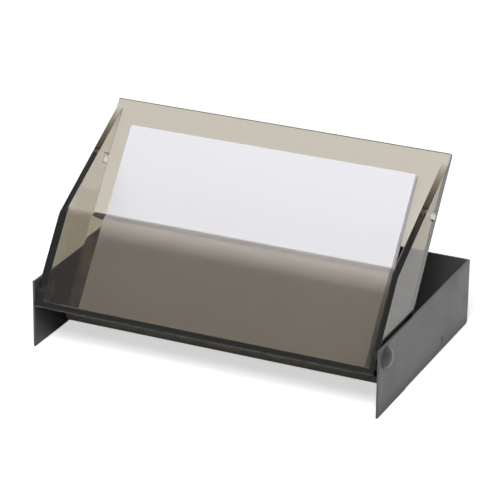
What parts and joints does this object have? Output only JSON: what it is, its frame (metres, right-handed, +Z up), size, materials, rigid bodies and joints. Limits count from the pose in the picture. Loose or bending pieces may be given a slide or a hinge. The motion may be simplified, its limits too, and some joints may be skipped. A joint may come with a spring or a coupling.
{
  "type": "business card box",
  "caption": "Desk box for business cards: a smoked acrylic card holder tilts on two rivets out of a low black steel tray, here open with a small stack of blank cards",
  "frame": {"origin": "on the table under the middle of the steel tray", "axes": "+X right, +Y back, +Z up; the open side of the box faces -Y"},
  "size_m": [0.1048, 0.0684, 0.0564],
  "materials": {
    "smoked_acrylic": "clear smoked acrylic, polished faces",
    "black_steel": "black powder coat, satin",
    "dark_rivet": "dark grey, satin",
    "black_nylon": "matte",
    "white_card": "uncoated paper board, matte"
  },
  "bodies": {
    "base": {"base_tray": "black_steel", "left_rivet": "dark_rivet", "right_rivet": "dark_rivet", "left_spacer": "black_nylon", "right_spacer": "black_nylon", "left_burr": "dark_rivet", "right_burr": "dark_rivet"},
    "holder": {"holder_back_panel": "smoked_acrylic", "holder_front_panel": "smoked_acrylic", "holder_bottom_panel": "smoked_acrylic", "holder_left_side": "smoked_acrylic", "holder_right_side": "smoked_acrylic", "card_1": "white_card", "card_2": "white_card", "card_3": "white_card", "card_4": "white_card", "card_5": "white_card", "card_6": "white_card", "card_7": "white_card", "card_8": "white_card"}
  },
  "joints": [
    {"name": "holder_tilt", "type": "hinge", "parent": "base", "child": "holder", "pos_m": [0, -0.02852, 0.0155], "axis": [1, 0, 0], "range_deg": [-54.5, 35.5]}
  ]
}
